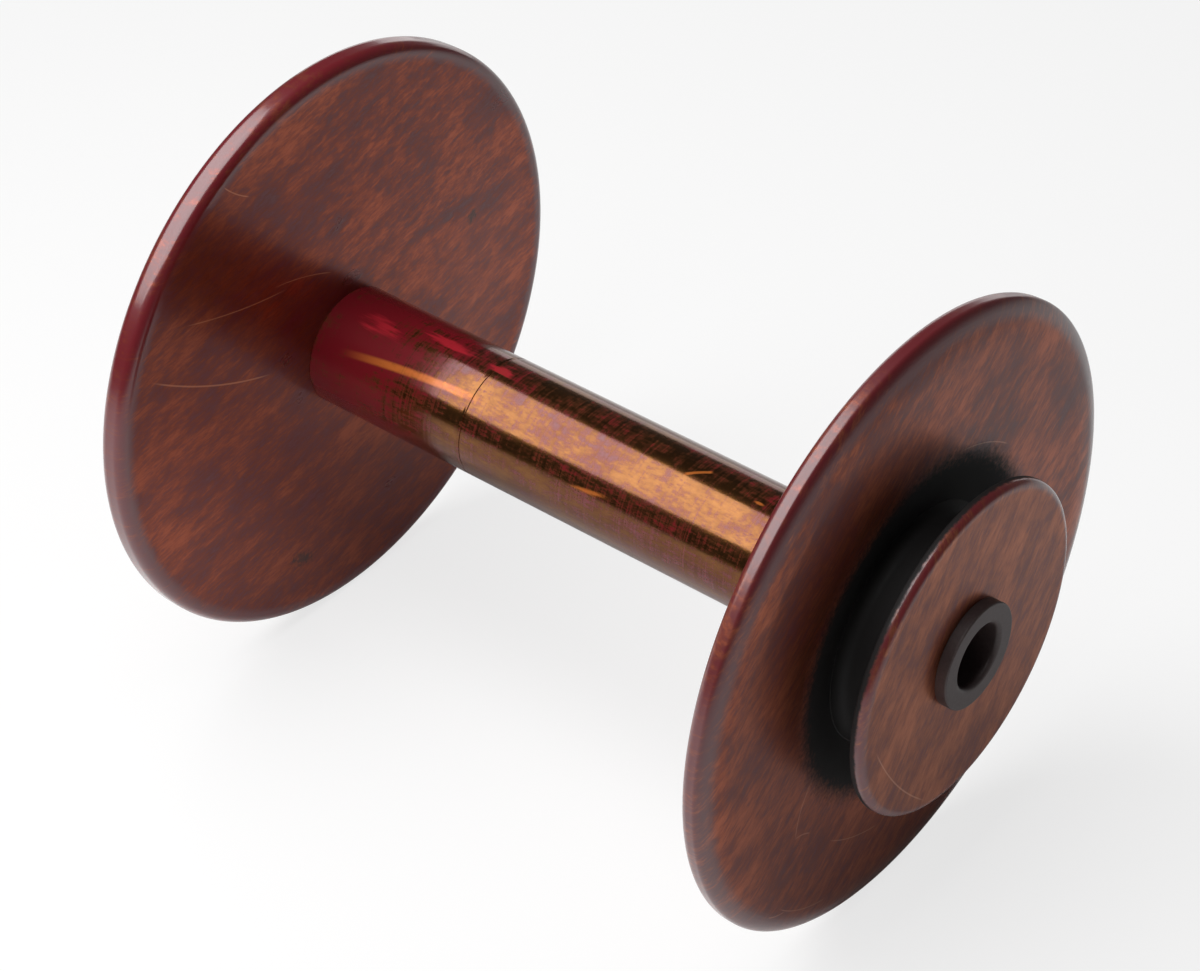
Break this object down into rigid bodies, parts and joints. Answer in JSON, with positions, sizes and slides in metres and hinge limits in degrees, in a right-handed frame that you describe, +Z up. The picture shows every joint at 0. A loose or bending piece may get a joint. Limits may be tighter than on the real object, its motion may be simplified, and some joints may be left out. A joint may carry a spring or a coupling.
{
  "type": "spinning wheel bobbin",
  "caption": "Turned wooden bobbin: a barrel between two round flanges, a grooved drive whorl on one end and a plain bush for the shaft in each end.",
  "frame": {"origin": "middle of the bobbin's length, on its axis", "axes": "+Y along the bobbin's axis, from the drive whorl towards the plain flange; +Z up with the bobbin lying on its two rims"},
  "size_m": [0.09, 0.117, 0.09],
  "materials": {
    "barrel_wood": "red-brown stained hardwood under gloss lacquer, grain along the barrel",
    "flange_wood": "red-brown stained hardwood under gloss lacquer, mottled figure across the disc",
    "whorl_wood": "red-brown stained hardwood under gloss lacquer, band groove stained nearly black",
    "bush_plastic": "matt dark grey plastic"
  },
  "bodies": {
    "root": {"barrel": "barrel_wood", "plain_flange": "flange_wood", "drive_flange": "flange_wood", "drive_whorl": "whorl_wood", "plain_end_bush": "bush_plastic", "drive_end_bush": "bush_plastic"}
  },
  "joints": []
}
